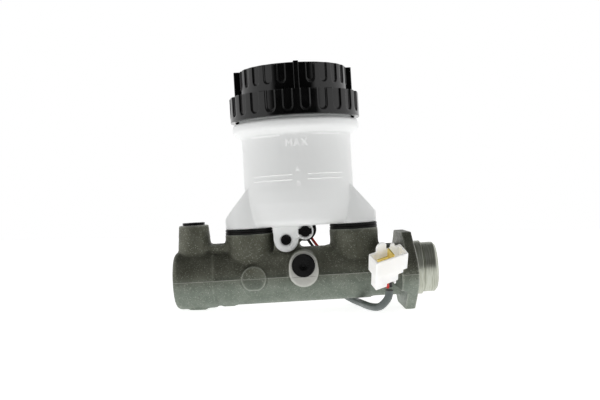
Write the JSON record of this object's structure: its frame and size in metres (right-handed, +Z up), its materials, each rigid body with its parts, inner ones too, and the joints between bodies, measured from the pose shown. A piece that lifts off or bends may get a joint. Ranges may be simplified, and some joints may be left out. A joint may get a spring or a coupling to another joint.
{
  "type": "brake master cylinder",
  "caption": "Tandem brake master cylinder: flanged cast body with two pistons, plastic fluid tank with ribbed screw cap, level switch and short lead with a two-way connector.",
  "frame": {"origin": "centre of the flange's mounting face, on the bore's axis", "axes": "+X along the bore, out of its open end towards the booster; +Z up to the reservoir; the level switch's lead leaves at +Y and its connector lies at -Y"},
  "size_m": [0.1556, 0.1052, 0.1443],
  "materials": {
    "cast_body": "sand-cast, sparkly grey-green",
    "tank_plastic": "translucent natural white",
    "cap_plastic": "glossy black",
    "seal_rubber": "satin black",
    "float_foam": "closed-cell foam",
    "magnet": "sintered ferrite",
    "black_plastic": "satin black",
    "reed_glass": "clear",
    "dark_steel": "phosphated spring steel",
    "plug_plastic": "satin black",
    "brass": "plain",
    "piston_metal": "turned and anodised",
    "plain_steel": "turned",
    "spring_steel": "drawn wire",
    "plated_steel": "zinc plated, yellow",
    "copper": "soft copper",
    "red_wire": "vinyl insulation",
    "black_wire": "vinyl insulation",
    "sheath_vinyl": "soft dark grey vinyl",
    "connector_nylon": "natural white nylon"
  },
  "bodies": {
    "body": {"cylinder_body": "cast_body", "reservoir_tank": "tank_plastic", "level_switch": "black_plastic", "reed_capsule": "reed_glass", "front_seat_grommet": "seal_rubber", "rear_seat_grommet": "seal_rubber", "reservoir_pin": "dark_steel", "front_tube_seat": "brass", "top_tube_seat": "brass", "stop_bolt": "plated_steel", "stop_bolt_washer": "copper", "stop_washer": "plain_steel", "snap_ring": "dark_steel", "secondary_spring": "spring_steel", "switch_wire_red": "red_wire", "switch_wire_black": "black_wire", "lead_sheath": "sheath_vinyl", "connector_housing": "connector_nylon", "side_terminal": "brass", "cross_terminal": "brass", "connector_wire_red": "red_wire", "connector_wire_black": "black_wire"},
    "cap_seal": {"cap_diaphragm": "seal_rubber"},
    "cap": {"reservoir_cap": "cap_plastic"},
    "float": {"level_float": "float_foam", "float_magnet": "magnet"},
    "front_plug": {"front_port_plug": "plug_plastic"},
    "top_plug": {"top_port_plug": "plug_plastic"},
    "primary": {"primary_piston": "piston_metal", "primary_pressure_cup": "seal_rubber", "primary_rear_cup": "seal_rubber", "retainer_screw": "plain_steel", "primary_spring_seat": "plated_steel"},
    "secondary": {"secondary_piston": "piston_metal", "secondary_pressure_cup": "seal_rubber", "secondary_front_cup": "seal_rubber", "secondary_rear_cup": "seal_rubber", "secondary_spring_seat": "plated_steel", "spring_retainer": "plated_steel", "primary_spring": "spring_steel"}
  },
  "joints": [
    {"name": "cap_turn", "type": "hinge", "parent": "cap_seal", "child": "cap", "pos_m": [-0.06325, 0, 0.106], "axis": [0, 0, 1], "range_deg": [0, 1080]},
    {"name": "cap_rise", "type": "slide", "parent": "body", "child": "cap_seal", "axis": [0, 0, 1], "range_m": [0, 0.0121]},
    {"name": "float_rise", "type": "slide", "parent": "body", "child": "float", "axis": [0, 0, 1], "range_m": [0, 0.034]},
    {"name": "front_plug_pull", "type": "slide", "parent": "body", "child": "front_plug", "axis": [0, -1, 0], "range_m": [0, 0.03]},
    {"name": "top_plug_pull", "type": "slide", "parent": "body", "child": "top_plug", "axis": [0, 0, 1], "range_m": [0, 0.03]},
    {"name": "primary_stroke", "type": "slide", "parent": "body", "child": "primary", "axis": [-1, 0, 0], "range_m": [0, 0.024], "stiffness_N_per_m": 1500, "springref_m": -0.02, "deforming": ["primary_spring"]},
    {"name": "secondary_stroke", "type": "slide", "parent": "body", "child": "secondary", "axis": [-1, 0, 0], "range_m": [0, 0.012], "deforming": ["secondary_spring"]}
  ],
  "couplings": [
    {"joint": "cap_rise", "follows": "cap_turn", "m_per_rad": 0.00063662},
    {"joint": "secondary_stroke", "follows": "primary_stroke", "ratio": 0.5}
  ]
}
